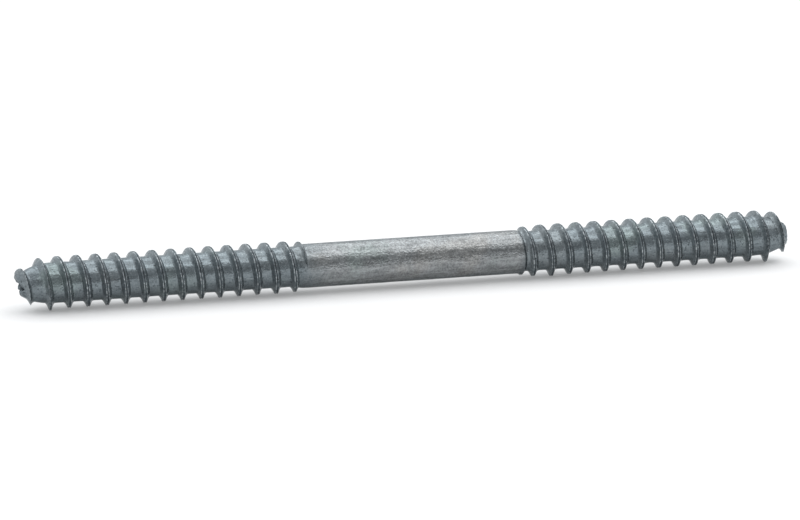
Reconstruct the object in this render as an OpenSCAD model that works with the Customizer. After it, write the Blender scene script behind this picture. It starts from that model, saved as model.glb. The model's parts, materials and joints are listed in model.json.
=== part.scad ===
// Double-ended wood screw: a plain round shank with a coarse right-hand wood
// thread rolled on both ends and a blunt tapered tip at each end.
// It lies along X, with the origin at its middle, on its own axis.

/* [Body] */
// Length over both tips
overall_len = 249; // [220:0.5:270]
// Length of the plain shank between the two threads
shank_len = 69.2; // [50:0.1:90]
// Diameter of the plain shank
shank_d = 13.7; // [13:0.1:14.4]
// Turn of the lying screw about its own axis
lie_angle = -7.5; // [-180:7.5:180]

/* [Thread] */
// Outside diameter over the crests
thread_d = 16.2; // [15.4:0.1:17]
// Core diameter in the grooves
core_d = 12.5; // [11.6:0.1:12.8]
// Distance from crest to crest
pitch = 5.95; // [5.5:0.05:6.5]
// Width of a crest, over both of its lips
crest_w = 1; // [0.6:0.1:1.6]
// Depth of the rolling seam between the two lips of a crest
seam_depth = 0.14; // [0.05:0.01:0.3]
// Axial length of one flank, without its foot fillet
flank_w = 0.65; // [0.4:0.05:0.9]
// Axial length of the fillet at the foot of a flank
fillet_w = 0.45; // [0.3:0.05:0.9]
// Length over which the crest grows out of the shank
crest_runout = 8; // [6:0.5:16]
// Length over which the groove deepens from the shank to the core
groove_runout = 2.6; // [2:0.1:8]
// Length beside the shank in which the last turn runs out almost square to the axis
square_runout = 1.8; // [0:0.1:3]

/* [Tips] */
// Length of the tapered core at a tip
tip_len = 12.5; // [9:0.5:16]
// Diameter of the cut end face
tip_d = 5.6; // [4:0.1:7]
// Length over which the crest falls away at a tip
crest_fall_len = 7.5; // [6:0.5:12]
// Crest diameter at the cut end
tip_crest_d = 9; // [7.6:0.1:10.6]
// How late the crest falls away at the left tip, from 1, evenly, to 3, at the end
left_fall_power = 1; // [1:0.1:3]
// How late the crest falls away at the right tip
right_fall_power = 2; // [1:0.1:3]
// How much further out the upper edge of the left end face is than its lower edge
left_cut_rise = 1.4; // [-2:0.1:2]
// How much further out the upper edge of the right end face is than its lower edge
right_cut_rise = -0.3; // [-2:0.1:2]

/* [Hidden] */

// Straight sides to one turn of the thread
sides = 24;
// How far the threaded end reaches into the shank, and how far inside its surface
seat_len = 0.6;
seat_gap = 0.02;
// Height of the fillet's upper edge, as a share of the thread height
fillet_share = 0.25;
// Share of the crest width that is left at the cut end
tip_crest_share = 0.25;
// How fast the crest rises at the run-out, and how late the core falls at a tip
crest_rise_power = 0.25;
core_fall_power = 2.6;
// Share of its pitch that the thread keeps where it runs out square
square_pitch_share = 0.5;

thread_start = shank_len / 2;
thread_end = overall_len / 2;
seat_start = thread_start - seat_len;
square_end = thread_start + square_runout;

function clamp(value) = max(0, min(1, value));
function mix(from, to, share) = from + (to - from) * share;

// How far the run-out or the tip has gone at x, from 0 to 1
function runout(x, length) = clamp((x - thread_start) / length);
function fall(x, length) = clamp((x - thread_end + length) / length);

// Radius of the groove's floor and of the crest at x
function groove_r(x) =
    mix(shank_d / 2 - seat_gap, core_d / 2, runout(x, groove_runout))
    - (core_d - tip_d) / 2 * pow(fall(x, tip_len), core_fall_power);
function crest_r(x, fall_power) =
    mix(shank_d / 2 - seat_gap, thread_d / 2,
        pow(runout(x, crest_runout), crest_rise_power))
    - (thread_d - tip_crest_d) / 2 * pow(fall(x, crest_fall_len), fall_power);

// One turn's profile at a crest centred on x, from foot to foot: the offset
// along the axis and the share of the thread height. The crest narrows to a
// sharp edge over the tip, where the seam closes.
function lip(x) = crest_w / 2 * mix(1, tip_crest_share, fall(x, tip_len));
function seam(x) = seam_depth / (thread_d - core_d) * 2 * (1 - fall(x, tip_len));
function profile(x) = [
    [-lip(x) - flank_w - fillet_w, 0],
    [-lip(x) - flank_w, fillet_share],
    [-lip(x), 1],
    [0, 1 - seam(x)],
    [lip(x), 1],
    [lip(x) + flank_w, fillet_share],
    [lip(x) + flank_w + fillet_w, 0]
];
rows = len(profile(0));

// The surface is a grid of rows that follow the helix and columns that are
// straight along the axis. A row starts at column 0 and, one turn on, meets
// the row of the next turn. Column 0 holds a crest at every whole pitch.
first_turn = floor(seat_start / pitch) - 2;
last_turn = ceil(thread_end / pitch) + 2;
grid_rows = (last_turn - first_turn) * rows;

function crest_x(row, column) =
    (first_turn + floor(row / rows) + column / sides) * pitch;
function profile_at(row, column) = profile(crest_x(row, column))[row % rows];
function squared(x) = x + (1 - square_pitch_share) * max(0, square_end - x);
function grid_x(row, column) =
    squared(crest_x(row, column) + profile_at(row, column)[0]);
function grid_r(row, column, fall_power) = let (x = grid_x(row, column))
    mix(groove_r(x), crest_r(x, fall_power), profile_at(row, column)[1]);

function ring_point(x, r, column) =
    [x, r * cos(360 * column / sides), r * sin(360 * column / sides)];

// Where the sheared end face cuts a column off, and the radius of the surface
// there. The edge at +Z is cut_rise further out than the edge at -Z.
function end_x(column, cut_rise) =
    thread_end - (abs(cut_rise) - cut_rise * sin(360 * column / sides)) / 2;
function end_r(column, fall_power, cut_rise) = lookup(end_x(column, cut_rise),
    [for (row = [0 : grid_rows - 1])
        [grid_x(row, column), grid_r(row, column, fall_power)]]);

// Rows that would pass an end stop at its ring of points
start_ring = grid_rows * sides;
end_ring = start_ring + sides;
start_centre = end_ring + sides;
end_centre = start_centre + 1;

function corner(row, column, cut_rise) =
    column == sides ? corner(row + rows, 0, cut_rise) :
    grid_x(row, column) <= seat_start ? start_ring + column :
    grid_x(row, column) >= end_x(column, cut_rise) ? end_ring + column :
    row * sides + column;

function is_triangle(t) = t[0] != t[1] && t[1] != t[2] && t[2] != t[0];

// One threaded end, along +X
module threaded_end(fall_power, cut_rise) {
    grid = [for (row = [0 : grid_rows - 1], column = [0 : sides - 1])
        ring_point(grid_x(row, column), grid_r(row, column, fall_power), column)];
    start_points = [for (column = [0 : sides - 1])
        ring_point(seat_start, shank_d / 2 - seat_gap, column)];
    end_points = [for (column = [0 : sides - 1])
        ring_point(end_x(column, cut_rise), end_r(column, fall_power, cut_rise), column)];

    side_faces = [for (row = [0 : grid_rows - rows - 2], column = [0 : sides - 1])
        let (a = corner(row, column, cut_rise),
             b = corner(row + 1, column, cut_rise),
             c = corner(row + 1, column + 1, cut_rise),
             d = corner(row, column + 1, cut_rise))
        for (t = [[a, b, c], [a, c, d]]) if (is_triangle(t)) t];
    cap_faces = [for (column = [0 : sides - 1])
        let (next = (column + 1) % sides)
        each [[start_centre, start_ring + column, start_ring + next],
              [end_centre, end_ring + next, end_ring + column]]];

    polyhedron(
        points = concat(grid, start_points, end_points,
            [[seat_start, 0, 0], [thread_end - abs(cut_rise) / 2, 0, 0]]),
        faces = concat(side_faces, cap_faces),
        convexity = 20
    );
}

module dowel_screw() {
    color("#87939a")
    rotate([lie_angle, 0, 0])
    union() {
        rotate([0, 90, 0])
        cylinder(d = shank_d, h = shank_len, center = true, $fn = 96);
        threaded_end(right_fall_power, right_cut_rise);
        rotate([0, 180, 0])
        threaded_end(left_fall_power, -left_cut_rise);
    }
}

dowel_screw();
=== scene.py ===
"""A double-ended wood screw in galvanised steel, lying on a white table.

The screw is one bar: a plain shank between two coarse rolled threads, with a
blunt tapered tip at each end. It is swept as one continuous helical sheet, then
shaped at the run-outs and the tips, cut off at both ends and worn.
"""

import json
import logging
import math
from dataclasses import dataclass, field
from enum import Enum

import bmesh
import bpy
from mathutils import Matrix, Vector, noise

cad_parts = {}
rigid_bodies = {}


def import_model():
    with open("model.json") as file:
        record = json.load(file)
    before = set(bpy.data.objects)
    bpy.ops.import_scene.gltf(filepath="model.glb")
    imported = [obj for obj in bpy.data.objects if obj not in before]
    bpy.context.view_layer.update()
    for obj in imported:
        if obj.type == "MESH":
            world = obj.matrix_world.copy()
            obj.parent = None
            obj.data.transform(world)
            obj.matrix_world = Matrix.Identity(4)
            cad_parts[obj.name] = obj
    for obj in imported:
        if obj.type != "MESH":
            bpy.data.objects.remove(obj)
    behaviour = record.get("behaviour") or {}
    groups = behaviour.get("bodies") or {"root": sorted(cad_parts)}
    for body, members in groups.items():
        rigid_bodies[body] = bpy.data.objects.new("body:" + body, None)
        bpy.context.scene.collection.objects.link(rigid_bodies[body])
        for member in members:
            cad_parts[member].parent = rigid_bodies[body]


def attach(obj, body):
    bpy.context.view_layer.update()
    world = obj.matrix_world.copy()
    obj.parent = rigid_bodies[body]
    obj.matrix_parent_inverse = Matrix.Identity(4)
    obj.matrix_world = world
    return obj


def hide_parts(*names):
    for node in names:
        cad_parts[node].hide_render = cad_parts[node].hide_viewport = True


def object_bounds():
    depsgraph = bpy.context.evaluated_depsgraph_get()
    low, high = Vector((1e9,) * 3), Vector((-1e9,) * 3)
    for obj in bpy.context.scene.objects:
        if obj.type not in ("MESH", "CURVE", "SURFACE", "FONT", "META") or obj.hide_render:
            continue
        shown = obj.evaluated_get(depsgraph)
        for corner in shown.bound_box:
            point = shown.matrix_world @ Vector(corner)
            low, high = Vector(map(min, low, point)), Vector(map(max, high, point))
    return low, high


LOG = logging.getLogger("dowel_screw")

Colour = tuple[float, float, float, float]
Range = tuple[float, float]

MM = 0.001
PICTURE_WIDTH = 800
WHITE: Colour = (1.0, 1.0, 1.0, 1.0)

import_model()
CAD_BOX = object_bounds()


class End(Enum):
    """The two ends of the screw, by their side of the shank along X."""

    LEFT = -1
    RIGHT = 1


def clamp(value: float) -> float:
    """Returns value held between 0 and 1."""
    return max(0.0, min(1.0, value))


def mix(low: float, high: float, share: float) -> float:
    """Returns the value that lies share of the way from low to high."""
    return low + (high - low) * share


def smooth(value: float) -> float:
    """Returns value held between 0 and 1, with soft starts at both ends."""
    t = clamp(value)
    return t * t * (3.0 - 2.0 * t)


@dataclass(frozen=True)
class ThreadForm:
    """Section of the rolled wood thread, seen along one pitch."""

    outside_radius: float = 8.1 * MM
    core_radius: float = 6.25 * MM
    pitch: float = 5.95 * MM
    lip: float = 0.5 * MM
    foot: float = 1.6 * MM
    fillet_width: float = 0.55 * MM
    flank_power: float = 1.5
    lip_rounding: float = 0.13
    seam_depth: float = 0.28 * MM
    seam_width: float = 0.17 * MM
    crest_cuts: int = 4
    flank_cuts: int = 5
    flank_crowding: float = 1.4
    groove_cuts: int = 3
    groove_crowding: float = 2.0

    @property
    def height(self) -> float:
        """Returns the thread's height above its core."""
        return self.outside_radius - self.core_radius

    def share(self, offset: float) -> float:
        """Works out how high the thread stands beside its crest.

        Args:
            offset: Distance along the axis from the middle of the crest.

        Returns:
            The height as a share of the thread's full height.
        """
        away = abs(offset)
        if away <= self.lip:
            seam = self.seam_depth / self.height * math.exp(-((away / self.seam_width) ** 2))
            return 1.0 - self.lip_rounding * (away / self.lip) ** 4 - seam
        t = clamp((away - self.lip) / (self.foot - self.lip))
        return (1.0 - self.lip_rounding) * (1.0 - t) ** self.flank_power

    def offsets(self) -> list[float]:
        """Spreads the section's points closer where it bends more.

        Returns:
            Offsets along the axis over one pitch, from the middle of one groove
            to the middle of the next.
        """
        half = [self.lip * i / self.crest_cuts for i in range(self.crest_cuts + 1)]
        flank = self.foot - self.lip
        for i in range(1, self.flank_cuts + 1):
            half.append(self.lip + flank * (i / self.flank_cuts) ** self.flank_crowding)
        groove = self.pitch / 2.0 - self.foot
        for i in range(1, self.groove_cuts + 1):
            half.append(self.foot + groove * (i / self.groove_cuts) ** self.groove_crowding)
        return [-o for o in reversed(half[1:])] + half


@dataclass(frozen=True)
class EndForm:
    """How one end of the screw starts beside the shank, tapers and was cut off."""

    end: End
    crest_start: float
    square_from: float
    square_rate: float
    squeeze: float
    fillet: float
    fall_power: float
    tip_radius: float
    cut_inset: float
    cut_slope: float
    pit: Vector
    pit_size: Vector
    pit_push: Vector


@dataclass(frozen=True)
class WearMark:
    """A chip or dent pressed into the surface, or a burr where its depth is negative."""

    x: float
    angle: float
    width: float
    length: float
    depth: float


@dataclass
class Screw:
    """The screw's body: shank, threads, run-outs and tips."""

    thread: ThreadForm = field(default_factory=ThreadForm)
    length: float = CAD_BOX[1][0] - CAD_BOX[0][0]
    shank_length: float = 69.2 * MM
    shank_radius: float = 6.85 * MM
    crest_runout: float = 9.0 * MM
    crest_rise_power: float = 0.25
    groove_runout: float = 2.6 * MM
    tip_length: float = 12.0 * MM
    core_fall_power: float = 2.6
    crest_fall_length: float = 7.5 * MM
    tip_crest_radius: float = 4.7 * MM
    sharpening_length: float = 14.0 * MM
    sharpening_speed: float = 1.6
    sharp_share: float = 0.2
    push_start: float = 0.8 * MM
    push_reach: float = 3.8 * MM
    lie_angle: float = math.radians(-7.5)
    steps_per_turn: int = 90
    # Widens the painted shade along the crest seam beyond the seam's own width
    seam_shade_spread: float = 1.5
    # Place and width of the painted highlight along the crest lips, as shares of the lip
    lip_highlight_place: float = 0.75
    lip_highlight_width: float = 0.3
    unevenness: float = 0.025 * MM
    unevenness_size: float = 2.6 * MM
    coarse_share: float = 1.4
    fine_share: float = 0.6
    fine_scale: float = 2.7
    merge_gap: float = 0.004 * MM
    cut_gap: float = 0.002 * MM
    cap_cuts: int = 6
    crumbling: float = 4.0 * MM
    crumb_size: float = 0.9 * MM
    crumb_depth: float = 0.26 * MM
    crumb_seed: int = 1
    pit_raggedness: float = 1.1 * MM
    # How strongly the end pit is marked for painted shade, and where that starts
    pit_shade: float = 3.0
    pit_shade_start: float = 0.5
    wear_reach: float = 3.0
    wear_on_core: float = 0.25
    ends: tuple[EndForm, ...] = (
        EndForm(
            end=End.LEFT,
            crest_start=32.6 * MM,
            square_from=36.0 * MM,
            square_rate=0.56,
            squeeze=0.8,
            fillet=0.0,
            fall_power=1.0,
            tip_radius=2.7 * MM,
            cut_inset=0.3 * MM,
            cut_slope=0.22,
            pit=Vector((-124.4, -0.3, -0.8)) * MM,
            pit_size=Vector((2.0, 3.4, 1.3)) * MM,
            pit_push=Vector((2.2, 0.6, 0.0)) * MM,
        ),
        EndForm(
            end=End.RIGHT,
            crest_start=33.9 * MM,
            square_from=37.6 * MM,
            square_rate=0.6,
            squeeze=0.2,
            fillet=0.045,
            fall_power=2.0,
            tip_radius=3.2 * MM,
            cut_inset=0.15 * MM,
            cut_slope=0.03,
            pit=Vector((124.5, 0.5, 0.6)) * MM,
            pit_size=Vector((1.5, 1.5, 1.5)) * MM,
            pit_push=Vector((-0.4, 0.0, 0.0)) * MM,
        ),
    )
    wear: tuple[WearMark, ...] = (
        WearMark(-48.4 * MM, math.radians(252), 0.9 * MM, 1.0 * MM, 0.55 * MM),
        WearMark(-39.6 * MM, math.radians(112), 0.7 * MM, 0.7 * MM, 0.4 * MM),
        WearMark(102.0 * MM, math.radians(140), 1.1 * MM, 1.6 * MM, 0.25 * MM),
        WearMark(68.6 * MM, math.radians(72), 0.9 * MM, 1.6 * MM, 0.5 * MM),
        WearMark(45.2 * MM, math.radians(78), 0.8 * MM, 1.3 * MM, 0.4 * MM),
        WearMark(-45.0 * MM, math.radians(78), 0.7 * MM, 1.0 * MM, 0.3 * MM),
        WearMark(-107.8 * MM, math.radians(70), 0.8 * MM, 2.0 * MM, 0.5 * MM),
        WearMark(-114.6 * MM, math.radians(256), 1.0 * MM, 5.0 * MM, -0.45 * MM),
        WearMark(117.6 * MM, math.radians(256), 1.0 * MM, 5.0 * MM, -0.45 * MM),
        WearMark(46.2 * MM, math.radians(256), 0.9 * MM, 2.5 * MM, -0.3 * MM),
    )

    def form(self, x: float) -> EndForm:
        """Returns the form of the end on x's side of the shank."""
        return self.ends[0] if x < 0.0 else self.ends[1]

    def fall(self, x: float, length: float) -> float:
        """Returns how far a taper that ends at the tip has gone at x, from 0 to 1."""
        return max(0.0, (abs(x) - self.length / 2.0 + length) / length)

    def groove_radius(self, x: float) -> float:
        """Works out the radius of the groove's floor.

        Args:
            x: Place along the axis.

        Returns:
            The radius there, which is the shank's between the threads.
        """
        start = smooth((abs(x) - self.shank_length / 2.0) / self.groove_runout)
        radius = mix(self.shank_radius, self.thread.core_radius, start)
        taper = self.thread.core_radius - self.form(x).tip_radius
        return radius - taper * self.fall(x, self.tip_length) ** self.core_fall_power

    def crest_radius(self, x: float) -> float:
        """Works out the radius of the crest.

        Args:
            x: Place of the crest's middle along the axis.

        Returns:
            The radius there, which is the shank's between the threads.
        """
        form = self.form(x)
        rise = clamp((abs(x) - form.crest_start) / self.crest_runout) ** self.crest_rise_power
        radius = mix(self.shank_radius, self.thread.outside_radius, rise)
        taper = self.thread.outside_radius - self.tip_crest_radius
        return radius - taper * self.fall(x, self.crest_fall_length) ** form.fall_power

    def push(self, crest_x: float) -> float:
        """Works out how far the crest is moved to end square to the axis.

        Args:
            crest_x: Place of the crest's middle along the axis.

        Returns:
            The crest's move away from the shank.
        """
        form = self.form(crest_x)
        fade = smooth((abs(crest_x) - form.crest_start) / self.thread.pitch + 1.0)
        return form.square_rate * max(0.0, form.square_from - abs(crest_x)) * fade

    def moved(self, offset: float, crest_x: float) -> float:
        """Narrows the crest at its two ends and moves its first turn off the shank.

        Args:
            offset: Distance along the axis from the middle of the crest.
            crest_x: Place of the crest's middle along the axis.

        Returns:
            The offset after the crest has changed.
        """
        form = self.form(crest_x)
        lip, pitch = self.thread.lip, self.thread.pitch
        away = abs(offset)
        fade = clamp((pitch / 2.0 - away) / (pitch / 2.0 - lip))
        blunt = smooth(self.fall(crest_x, self.sharpening_length) * self.sharpening_speed)
        loss = (1.0 - self.sharp_share) * blunt
        narrow = away - loss * min(away, lip) * fade
        first = 1.0 - smooth((abs(crest_x) - form.crest_start) / pitch)
        narrow *= 1.0 - form.squeeze * first * fade
        moved = math.copysign(narrow, offset)
        for turn in (-1, 0, 1):
            reach = clamp((abs(offset - turn * pitch) - self.push_start) / self.push_reach)
            moved += form.end.value * self.push(crest_x + turn * pitch) * (1.0 - smooth(reach))
        return moved

    def sweep(self, bm: bmesh.types.BMesh) -> None:
        """Sweeps one turn of the section and repeats it along the whole screw.

        Args:
            bm: The mesh to fill.
        """
        half_turns = math.ceil(self.length / 2.0 / self.thread.pitch) + 1
        start = -half_turns * self.thread.pitch
        points = [
            bm.verts.new((start + offset, self.radius_of(self.thread.share(offset)), 0.0))
            for offset in self.thread.offsets()
        ]
        edges = [bm.edges.new(pair) for pair in zip(points, points[1:])]
        bmesh.ops.rotate(bm, cent=(0, 0, 0), matrix=Matrix.Rotation(self.lie_angle, 3, "X"), verts=points)
        bmesh.ops.spin(
            bm,
            geom=points + edges,
            cent=(0, 0, 0),
            axis=(1, 0, 0),
            dvec=(self.thread.pitch / self.steps_per_turn, 0, 0),
            angle=math.tau,
            steps=self.steps_per_turn,
            use_duplicate=False,
            use_merge=False,
        )
        turn = bm.verts[:] + bm.edges[:] + bm.faces[:]
        for number in range(1, 2 * half_turns):
            copy = bmesh.ops.duplicate(bm, geom=turn)["geom"]
            moved = [v for v in copy if isinstance(v, bmesh.types.BMVert)]
            bmesh.ops.translate(bm, vec=(number * self.thread.pitch, 0, 0), verts=moved)
        bmesh.ops.remove_doubles(bm, verts=bm.verts, dist=self.merge_gap)

    def radius_of(self, share: float) -> float:
        """Returns the radius at a share of the full thread's height."""
        return mix(self.thread.core_radius, self.thread.outside_radius, share)

    def shape(self, bm: bmesh.types.BMesh) -> None:
        """Gives every point its real radius: run-outs, shank, tips and unevenness.

        Args:
            bm: The swept mesh.
        """
        seam = bm.verts.layers.float.new("seam")
        edge = bm.verts.layers.float.new("edge")
        flank = bm.verts.layers.float.new("flank")
        thread = self.thread
        for v in bm.verts:
            angle = math.atan2(v.co.z, v.co.y)
            share = (math.hypot(v.co.y, v.co.z) - thread.core_radius) / thread.height
            turn = v.co.x / thread.pitch - (angle - self.lie_angle) / math.tau
            offset = (turn - round(turn)) * thread.pitch
            crest_x = v.co.x - offset
            beside_foot = (abs(offset) - thread.foot) / thread.fillet_width
            share += self.form(crest_x).fillet * math.exp(-(beside_foot**2))
            x = crest_x + self.moved(offset, crest_x)
            low = self.groove_radius(x)
            high = max(low, self.crest_radius(crest_x))
            place = v.co / self.unevenness_size
            rough = noise.noise(place) * self.coarse_share
            rough += noise.noise(place * self.fine_scale) * self.fine_share
            radius = mix(low, high, share) + self.unevenness * rough
            v.co = (x, radius * math.cos(angle), radius * math.sin(angle))
            grown = clamp((high - low) / thread.height)
            # A parabola that is 1 halfway up the flank and 0 at its foot and its crest
            v[flank] = smooth(4.0 * share * (1.0 - share)) * grown
            # Mask of the painted shade along the seam between the two lips
            v[seam] = math.exp(-((offset / thread.seam_width / self.seam_shade_spread) ** 2)) * grown
            # Mask of the painted highlight along the lips on both sides of the seam
            beside_lip = (abs(offset) - self.lip_highlight_place * thread.lip) / (self.lip_highlight_width * thread.lip)
            v[edge] = math.exp(-(beside_lip**2)) * grown

    def cut_end(self, bm: bmesh.types.BMesh, form: EndForm) -> None:
        """Cuts the screw off at one tip and closes the cut.

        Args:
            bm: The shaped mesh.
            form: The form of this end.
        """
        side = form.end.value
        near = [v for v in bm.verts if v.co.x * side > self.length / 2.0 - self.tip_length]
        # The keys of a dict keep their order, so every run cuts the same way
        edges = dict.fromkeys(e for v in near for e in v.link_edges)
        faces = dict.fromkeys(f for v in near for f in v.link_faces)
        cut = bmesh.ops.bisect_plane(
            bm,
            geom=[*near, *edges, *faces],
            dist=self.cut_gap,
            plane_co=(side * (self.length / 2.0 - form.cut_inset), 0, 0),
            plane_no=(side, 0, side * form.cut_slope),
            clear_outer=True,
        )
        rim = [e for e in cut["geom_cut"] if isinstance(e, bmesh.types.BMEdge)]
        face = bmesh.ops.edgeloop_fill(bm, edges=rim)["faces"]
        middle = bmesh.ops.poke(bm, faces=face)["verts"]
        spokes = [e for v in middle for e in v.link_edges]
        bmesh.ops.subdivide_edges(bm, edges=spokes, cuts=self.cap_cuts, use_grid_fill=True)

    def crumble(self, bm: bmesh.types.BMesh, form: EndForm) -> None:
        """Roughens one cut end, presses its ragged pit in and marks the pit for painted shade.

        Args:
            bm: The mesh with its ends cut.
            form: The form of this end.
        """
        # Unseeded, noise_vector would draw its offsets from the clock
        noise.seed_set(self.crumb_seed)
        seam = bm.verts.layers.float["seam"]
        for v in bm.verts:
            near_end = smooth(1.0 - (self.length / 2.0 - v.co.x * form.end.value) / self.crumbling)
            if near_end > 0.0:
                crumb = noise.noise_vector(v.co / self.crumb_size)
                v.co += crumb * self.crumb_depth * near_end
                torn = v.co + crumb * self.pit_raggedness
                away = sum(((c - p) / s) ** 2 for c, p, s in zip(torn, form.pit, form.pit_size))
                pit = math.exp(-away)
                v.co += form.pit_push * pit
                # Painted shade: the pit is marked in the seam mask, which darkens it in the colour
                v[seam] = max(v[seam], clamp(self.pit_shade * pit - self.pit_shade_start))

    def wear_down(self, bm: bmesh.types.BMesh) -> None:
        """Presses the chips and dents into the surface and raises the burrs.

        Args:
            bm: The finished mesh.
        """
        for mark in self.wear:
            for v in bm.verts:
                if abs(v.co.x - mark.x) > self.wear_reach * mark.width:
                    continue
                radius = math.hypot(v.co.y, v.co.z)
                angle = math.atan2(v.co.z, v.co.y)
                around = math.remainder(angle - mark.angle, math.tau) * radius
                away = math.hypot((v.co.x - mark.x) / mark.width, around / mark.length)
                height = (radius - self.thread.core_radius) / self.thread.height
                height = clamp(height + self.wear_on_core)
                drop = mark.depth * math.exp(-away * away) * height
                v.co.y -= drop * math.cos(angle)
                v.co.z -= drop * math.sin(angle)

    def build(self, name: str) -> bpy.types.Object:
        """Builds the whole body as one closed mesh.

        Args:
            name: Name of the new object.

        Returns:
            The object, with its place in its mesh.
        """
        bm = bmesh.new()
        self.sweep(bm)
        self.shape(bm)
        for form in self.ends:
            self.cut_end(bm, form)
            self.crumble(bm, form)
        self.wear_down(bm)
        bmesh.ops.recalc_face_normals(bm, faces=bm.faces)
        for f in bm.faces:
            f.smooth = True
        mesh = bpy.data.meshes.new(name)
        bm.to_mesh(mesh)
        bm.free()
        body = bpy.data.objects.new(name, mesh)
        bpy.context.scene.collection.objects.link(body)
        return body


class ShaderTree:
    """A short way to write a material's nodes."""

    def __init__(self, name: str) -> None:
        """Starts an empty material.

        Args:
            name: Name of the material.
        """
        self.material = bpy.data.materials.new(name)
        self.material.use_nodes = True
        self.tree = self.material.node_tree
        self.tree.nodes.clear()

    def node(
        self, kind: str, inputs: dict[str | int, object] | None = None, **settings: object
    ) -> bpy.types.Node:
        """Adds a node, sets it and links it.

        Args:
            kind: The node's type, without its ShaderNode prefix.
            inputs: Socket name or number to a value or to an output socket.
            **settings: The node's own properties.

        Returns:
            The new node.
        """
        made = self.tree.nodes.new("ShaderNode" + kind)
        for key, value in settings.items():
            setattr(made, key, value)
        for key, value in (inputs or {}).items():
            if isinstance(value, bpy.types.NodeSocket):
                self.tree.links.new(value, made.inputs[key])
            else:
                made.inputs[key].default_value = value
        return made

    def noise(self, place: bpy.types.NodeSocket, size: float, detail: float) -> bpy.types.NodeSocket:
        """Adds a noise.

        Args:
            place: The coordinates that it reads.
            size: Rough size of one blot, in metres.
            detail: Number of finer layers.

        Returns:
            Its value.
        """
        made = self.node("TexNoise", {"Vector": place, "Scale": 1.0 / size, "Detail": detail})
        return made.outputs[0]

    def ramp(
        self, value: bpy.types.NodeSocket, low: float, high: float, start: float = 0.0, stop: float = 1.0
    ) -> bpy.types.NodeSocket:
        """Maps a value from one range to another, held at both ends.

        Args:
            value: The value to map.
            low: The value that gives start.
            high: The value that gives stop.
            start: Result at low.
            stop: Result at high.

        Returns:
            The mapped value.
        """
        made = self.node(
            "MapRange",
            {"Value": value, "From Min": low, "From Max": high, "To Min": start, "To Max": stop},
            interpolation_type="SMOOTHSTEP",
        )
        return made.outputs[0]

    def between(self, share: bpy.types.NodeSocket, start: float, stop: float) -> bpy.types.NodeSocket:
        """Returns a value that goes softly from start to stop as share goes from 0 to 1."""
        return self.ramp(share, 0.0, 1.0, start, stop)

    def times(self, first: object, second: object) -> bpy.types.NodeSocket:
        """Returns the product of two values or sockets."""
        return self.math("MULTIPLY", first, second)

    def math(self, operation: str, first: object, second: object) -> bpy.types.NodeSocket:
        """Adds one step of arithmetic.

        Args:
            operation: Name of the step.
            first: First value or socket.
            second: Second value or socket.

        Returns:
            The result.
        """
        return self.node("Math", {0: first, 1: second}, operation=operation).outputs[0]

    def blend(self, share: object, first: object, second: object, how: str = "MIX") -> bpy.types.NodeSocket:
        """Mixes two colours.

        Args:
            share: How much of the second colour there is.
            first: First colour or socket.
            second: Second colour or socket.
            how: Name of the blend.

        Returns:
            The mixed colour.
        """
        made = self.node("Mix", {0: share, 6: first, 7: second}, data_type="RGBA", blend_type=how)
        return made.outputs[2]


@dataclass(frozen=True)
class Patterns:
    """The shank's mask and the noises that the zinc's colour, gloss and relief share."""

    shank: bpy.types.NodeSocket
    cloud: bpy.types.NodeSocket
    mottle: bpy.types.NodeSocket
    streak: bpy.types.NodeSocket
    grain: bpy.types.NodeSocket
    glint_noise: bpy.types.NodeSocket
    highlight_break: bpy.types.NodeSocket
    pits: bpy.types.NodeSocket


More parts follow.
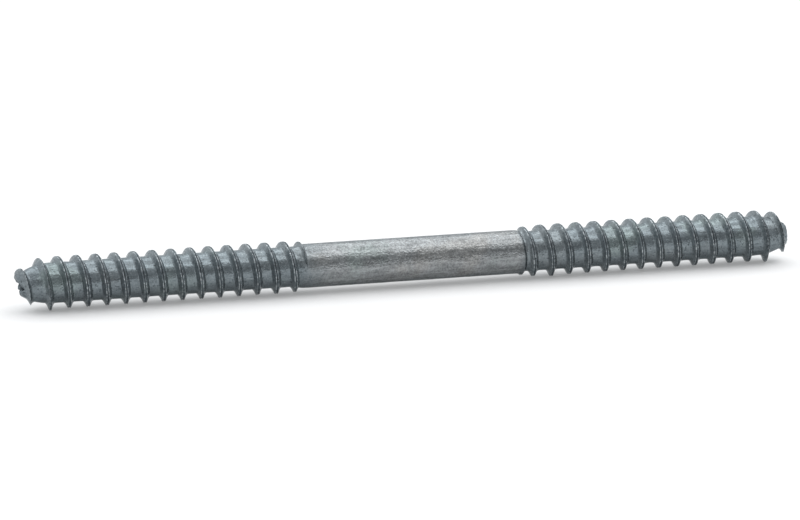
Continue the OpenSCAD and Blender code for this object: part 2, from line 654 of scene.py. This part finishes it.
@dataclass(frozen=True)
class GalvanisedSteel:
    """Dull zinc over steel: bluish on the rolled thread, greyer on the shank."""

    thread_tone: Colour = (0.178, 0.207, 0.222, 1.0)
    shank_tone: Colour = (0.25, 0.262, 0.267, 1.0)
    warm_tone: Colour = (0.29, 0.284, 0.272, 1.0)
    green_tone: Colour = (0.22, 0.272, 0.257, 1.0)
    # Tone of the small pits, and of the painted shade in the seam and in the end pit
    pit_and_shade_tone: Colour = (0.035, 0.043, 0.05, 1.0)
    # Pale tone of the painted highlight on the lips
    lip_highlight_tone: Colour = (0.64, 0.68, 0.7, 1.0)
    # Pale tone of the painted glints
    glint_tone: Colour = (0.35, 0.385, 0.4, 1.0)
    edge_tint: Colour = (0.6, 0.62, 0.63, 1.0)
    left_fade: Range = (-3.0 * MM, 9.0 * MM)
    right_fade: Range = (-1.0 * MM, 3.0 * MM)
    shank_roughness: float = 0.2
    thread_roughness: float = 0.21
    roughness_spread: float = 0.04
    thread_metallic: float = 0.92
    flank_metallic: float = 0.55
    cloud_size: float = 14.0 * MM
    warm_range: Range = (0.5, 0.68)
    warm_share: float = 0.5
    thread_warmth: float = 0.25
    green_range: Range = (0.46, 0.3)
    green_share: float = 0.4
    mottle_size: float = 1.6 * MM
    mottle_range: Range = (0.3, 0.7)
    mottle_weight: float = 0.7
    streak_size: float = 0.9 * MM
    streak_stretch: tuple[float, float, float] = (0.12, 1.0, 1.0)
    streak_range: Range = (0.3, 0.7)
    streak_weight: float = 1.1
    grain_size: float = 0.55 * MM
    grain_range: Range = (0.35, 0.65)
    grain_weight: float = 1.0
    mottling: float = 0.12
    shank_mottling: float = 0.17
    glint_size: float = 0.45 * MM
    glint_range: Range = (0.62, 0.72)
    glint_share: float = 0.5
    pit_size: float = 0.8 * MM
    pit_range: Range = (0.63, 0.72)
    pit_share: float = 0.38
    pit_depth: float = 0.5
    highlight_break_size: float = 0.9 * MM
    highlight_break_range: Range = (0.46, 0.6)
    lip_highlight_share: float = 0.8
    seam_shade_range: Range = (0.35, 0.55)
    seam_shade_least: float = 0.55
    thread_relief: float = 0.5
    streak_relief: float = 0.6
    bump_height: float = 0.2 * MM
    bump_strength: float = 0.8

    def patterns(self, tree: ShaderTree, screw: Screw) -> Patterns:
        """Adds the patterns that colour, gloss and relief share.

        Args:
            tree: The material's nodes.
            screw: The body that wears it.

        Returns:
            The patterns.
        """
        place = tree.node("TexCoord").outputs["Object"]
        x = tree.node("SeparateXYZ", {0: place}).outputs[0]
        half = screw.shank_length / 2.0
        left_fade = tree.ramp(x, self.left_fade[0] - half, self.left_fade[1] - half)
        right_fade = tree.ramp(x, self.right_fade[0] + half, self.right_fade[1] + half, 1.0, 0.0)
        shank = tree.times(left_fade, right_fade)
        drawn = tree.node("Mapping", {"Vector": place, "Scale": self.streak_stretch}).outputs[0]
        pits = tree.ramp(tree.noise(place, self.pit_size, 1.0), *self.pit_range)
        return Patterns(
            shank=shank,
            cloud=tree.noise(place, self.cloud_size, 2.0),
            mottle=tree.noise(place, self.mottle_size, 4.0),
            streak=tree.noise(drawn, self.streak_size, 3.0),
            grain=tree.noise(place, self.grain_size, 3.0),
            glint_noise=tree.noise(place, self.glint_size, 1.0),
            highlight_break=tree.noise(place, self.highlight_break_size, 2.0),
            pits=tree.times(pits, tree.math("SUBTRACT", 1.0, shank)),
        )

    def zinc(self, tree: ShaderTree, on: Patterns) -> bpy.types.NodeSocket:
        """Mixes the colour of the zinc coat with its clouds and blots.

        Args:
            tree: The material's nodes.
            on: The patterns.

        Returns:
            The colour of the coat before wear.
        """
        base = tree.blend(on.shank, self.thread_tone, self.shank_tone)
        warmth = tree.ramp(on.cloud, *self.warm_range, 0.0, self.warm_share)
        warmth = tree.times(warmth, tree.between(on.shank, self.thread_warmth, 1.0))
        base = tree.blend(warmth, base, self.warm_tone)
        green = tree.ramp(on.cloud, *self.green_range, 0.0, self.green_share)
        base = tree.blend(green, base, self.green_tone)
        mottle = tree.ramp(on.mottle, *self.mottle_range, -self.mottle_weight, self.mottle_weight)
        streak = tree.ramp(on.streak, *self.streak_range, -self.streak_weight, self.streak_weight)
        grain = tree.ramp(on.grain, *self.grain_range, -self.grain_weight, self.grain_weight)
        blots = tree.math("ADD", tree.math("ADD", mottle, streak), grain)
        depth = tree.between(on.shank, self.mottling, self.shank_mottling)
        shade = tree.math("ADD", tree.times(blots, depth), 1.0)
        shades = tree.node("CombineColor", {0: shade, 1: shade, 2: shade}).outputs[0]
        return tree.blend(1.0, base, shades, "MULTIPLY")

    def pits_and_painted_light(self, tree: ShaderTree, on: Patterns, base: bpy.types.NodeSocket) -> bpy.types.NodeSocket:
        """Adds painted glints, pits, a painted highlight on the lips and painted shade along the seam to
        the coat.

        Args:
            tree: The material's nodes.
            on: The patterns.
            base: The colour of the coat before wear.

        Returns:
            The finished colour.
        """
        edge = tree.node("Attribute", attribute_name="edge").outputs["Fac"]
        seam = tree.node("Attribute", attribute_name="seam").outputs["Fac"]
        # Painted glints: pale specks in the colour stand in for the lamps' sparkle on the grainy zinc
        painted_glints = tree.ramp(on.glint_noise, *self.glint_range, 0.0, self.glint_share)
        base = tree.blend(painted_glints, base, self.glint_tone)
        base = tree.blend(tree.times(on.pits, self.pit_share), base, self.pit_and_shade_tone)
        # Painted highlight: the lips are paled in the colour, broken up by a noise
        lip_highlight = tree.times(tree.ramp(on.highlight_break, *self.highlight_break_range), self.lip_highlight_share)
        base = tree.blend(tree.times(edge, lip_highlight), base, self.lip_highlight_tone)
        # Painted shade: the seam between the lips and the end pit are darkened in the colour, broken up by
        # the mottle
        broken = tree.ramp(on.mottle, *self.seam_shade_range, self.seam_shade_least, 1.0)
        return tree.blend(tree.times(seam, broken), base, self.pit_and_shade_tone)

    def relief(self, tree: ShaderTree, on: Patterns) -> bpy.types.NodeSocket:
        """Adds the fine relief of the coat.

        Args:
            tree: The material's nodes.
            on: The patterns.

        Returns:
            The normal.
        """
        height = tree.math("ADD", on.grain, tree.times(on.streak, self.streak_relief))
        height = tree.times(height, tree.between(on.shank, self.thread_relief, 1.0))
        height = tree.math("SUBTRACT", height, tree.times(on.pits, self.pit_depth))
        inputs = {"Height": height, "Distance": self.bump_height, "Strength": self.bump_strength}
        return tree.node("Bump", inputs).outputs[0]

    def material(self, screw: Screw) -> bpy.types.Material:
        """Builds the material.

        Args:
            screw: The body that wears it.

        Returns:
            The material.
        """
        tree = ShaderTree("galvanised_steel")
        on = self.patterns(tree, screw)
        flank = tree.node("Attribute", attribute_name="flank").outputs["Fac"]
        metallic = tree.between(flank, self.thread_metallic, self.flank_metallic)
        rough = tree.between(on.shank, self.thread_roughness, self.shank_roughness)
        spread = tree.ramp(on.mottle, *self.mottle_range, -self.roughness_spread, self.roughness_spread)
        surface = tree.node(
            "BsdfPrincipled",
            {
                "Base Color": self.pits_and_painted_light(tree, on, self.zinc(tree, on)),
                "Metallic": tree.math("MAXIMUM", metallic, on.shank),
                "Roughness": tree.math("ADD", rough, spread),
                "Specular Tint": self.edge_tint,
                "Normal": self.relief(tree, on),
            },
        )
        tree.node("OutputMaterial", {"Surface": surface.outputs[0]})
        return tree.material


@dataclass(frozen=True)
class TableTop:
    """White matt table that shows as white and still takes a shadow."""

    colour: Colour = (0.66, 0.66, 0.66, 1.0)
    lift: float = 0.21

    def material(self) -> bpy.types.Material:
        """Builds the material.

        Returns:
            The material.
        """
        tree = ShaderTree("white_table")
        matt = tree.node("BsdfDiffuse", {"Color": self.colour}).outputs[0]
        path = tree.node("LightPath").outputs
        seen = tree.math("MAXIMUM", path["Is Camera Ray"], path["Is Glossy Ray"])
        seen = tree.math("MAXIMUM", seen, path["Is Transmission Ray"])
        glow = tree.node("Emission", {"Color": WHITE, "Strength": tree.times(seen, self.lift)})
        total = tree.node("AddShader", {0: matt, 1: glow.outputs[0]})
        tree.node("OutputMaterial", {"Surface": total.outputs[0]})
        return tree.material


@dataclass(frozen=True)
class Lamp:
    """A soft lamp that hangs at a place, faces the screw and gives a power in watts."""

    name: str
    place: Vector
    size: tuple[float, float]
    power: float

    def hang(self) -> None:
        """Hangs the lamp and turns it to the screw."""
        data = bpy.data.lights.new(self.name, "AREA")
        data.shape = "RECTANGLE"
        data.size, data.size_y = self.size
        data.energy = self.power
        lamp = bpy.data.objects.new(self.name, data)
        lamp.location = self.place
        lamp.rotation_euler = (-self.place).to_track_quat("-Z", "Y").to_euler()
        bpy.context.scene.collection.objects.link(lamp)


@dataclass
class Studio:
    """Table, lamps, surroundings and camera."""

    azimuth: float = math.radians(-16.2)
    elevation: float = math.radians(13.29)
    distance: float = 1.59
    pixels_per_metre: float = 3211.0
    sensor: float = 36.0
    aim: tuple[float, float, float] = (-2.75 * MM, 0.0, 0.0)
    aim_pixels: tuple[float, float] = (0.2, -0.55)
    far_clip: float = 20.0
    table_size: float = 6.0
    lamps: tuple[Lamp, ...] = (
        Lamp("softbox", Vector((0.2, 0.22, 1.1)), (2.4, 1.62), 8.4),
        Lamp("front strip", Vector((0.2, -0.37, 1.0)), (2.4, 0.22), 2.3),
        Lamp("rear strip", Vector((0.2, 0.7, 1.0)), (2.4, 0.15), 2.15),
    )
    sky_colour: Colour = (0.96, 0.98, 1.0, 1.0)
    front_glow: float = 0.49
    back_glow: float = 1.29

    def table(self, height: float) -> None:
        """Lays the table top.

        Args:
            height: Height of its surface.
        """
        bm = bmesh.new()
        bmesh.ops.create_grid(bm, x_segments=1, y_segments=1, size=self.table_size / 2.0)
        bmesh.ops.translate(bm, vec=(0, 0, height), verts=bm.verts)
        mesh = bpy.data.meshes.new("table")
        bm.to_mesh(mesh)
        bm.free()
        table = bpy.data.objects.new("table", mesh)
        table.data.materials.append(TableTop().material())
        bpy.context.scene.collection.objects.link(table)

    def light(self) -> None:
        """Lights the screw from above and in front, in pale surroundings."""
        for lamp in self.lamps:
            lamp.hang()
        world = bpy.data.worlds.new("surroundings")
        world.use_nodes = True
        nodes, links = world.node_tree.nodes, world.node_tree.links
        direction = nodes.new("ShaderNodeTexCoord")
        axes = nodes.new("ShaderNodeSeparateXYZ")
        glow = nodes.new("ShaderNodeMapRange")
        glow.interpolation_type = "SMOOTHSTEP"
        glow.inputs["From Min"].default_value = -1.0
        glow.inputs["To Min"].default_value = self.front_glow
        glow.inputs["To Max"].default_value = self.back_glow
        links.new(direction.outputs["Generated"], axes.inputs[0])
        links.new(axes.outputs["Y"], glow.inputs["Value"])
        links.new(glow.outputs[0], nodes["Background"].inputs["Strength"])
        nodes["Background"].inputs["Color"].default_value = self.sky_colour
        bpy.context.scene.world = world

    def camera(self) -> None:
        """Sets up the camera, far off with a long lens."""
        back = Vector(
            (
                math.sin(self.azimuth) * math.cos(self.elevation),
                -math.cos(self.azimuth) * math.cos(self.elevation),
                math.sin(self.elevation),
            )
        )
        right = Vector((math.cos(self.azimuth), math.sin(self.azimuth), 0.0))
        up = back.cross(right)
        aim = Vector(self.aim)
        aim -= right * self.aim_pixels[0] / self.pixels_per_metre
        aim += up * self.aim_pixels[1] / self.pixels_per_metre
        data = bpy.data.cameras.new("camera")
        data.sensor_width = self.sensor
        data.lens = self.sensor * self.pixels_per_metre * self.distance / PICTURE_WIDTH
        data.clip_end = self.far_clip
        camera = bpy.data.objects.new("camera", data)
        camera.location = aim + back * self.distance
        camera.rotation_euler = back.to_track_quat("Z", "Y").to_euler()
        bpy.context.scene.collection.objects.link(camera)
        bpy.context.scene.camera = camera


def main() -> None:
    """Builds the screw and the studio."""
    logging.basicConfig(level=logging.INFO, format="%(name)s: %(message)s")
    screw = Screw()
    body = screw.build("screw_body")
    body.data.materials.append(GalvanisedSteel().material(screw))
    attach(body, "root")
    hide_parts("dowel_screw")
    LOG.info("screw_body: %d faces", len(body.data.polygons))

    studio = Studio()
    lowest = min(v.co.z for v in body.data.vertices)
    studio.table(lowest)
    studio.light()
    studio.camera()
    bpy.context.scene.view_settings.view_transform = "Standard"


if __name__ == "__main__":
    main()
